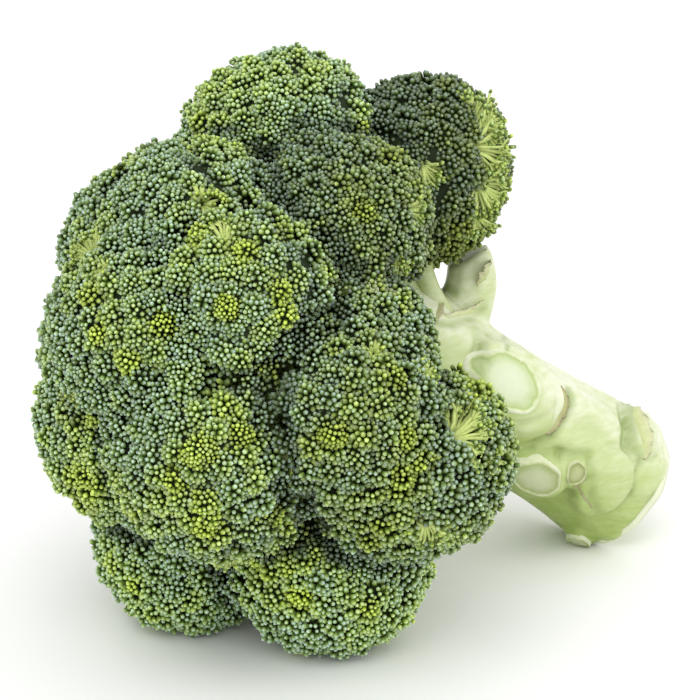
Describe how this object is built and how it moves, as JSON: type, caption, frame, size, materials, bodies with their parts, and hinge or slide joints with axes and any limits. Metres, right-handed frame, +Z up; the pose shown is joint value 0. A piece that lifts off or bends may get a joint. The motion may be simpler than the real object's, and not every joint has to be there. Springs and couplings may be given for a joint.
{
  "type": "broccoli head",
  "caption": "Broccoli head lying on its side: a thick cut stalk that forks into shoots, each ending in a dome of clustered green buds.",
  "frame": {"origin": "on the surface that the head lies on, under the middle of its bounding box", "axes": "+X along the stalk's heading towards its cut end, seen from above; +Z up; +Y completes the right-handed frame"},
  "size_m": [0.221, 0.1694, 0.1726],
  "materials": {
    "bud_green": "matte",
    "stalk_green": "satin"
  },
  "bodies": {
    "root": {"floret_top": "bud_green", "floret_rim": "bud_green", "floret_shoulder": "bud_green", "floret_crown_far": "bud_green", "floret_crown_top": "bud_green", "floret_crown": "bud_green", "floret_crown_low": "bud_green", "floret_left": "bud_green", "floret_low_side": "bud_green", "floret_bottom_left": "bud_green", "floret_side_upper": "bud_green", "floret_side": "bud_green", "floret_side_rim": "bud_green", "floret_bottom": "bud_green", "floret_far_shoulder": "bud_green", "floret_far_crown": "bud_green", "floret_far_rim": "bud_green", "floret_far_side": "bud_green", "floret_far_low": "bud_green", "floret_under": "bud_green", "stalk": "stalk_green"}
  },
  "joints": []
}
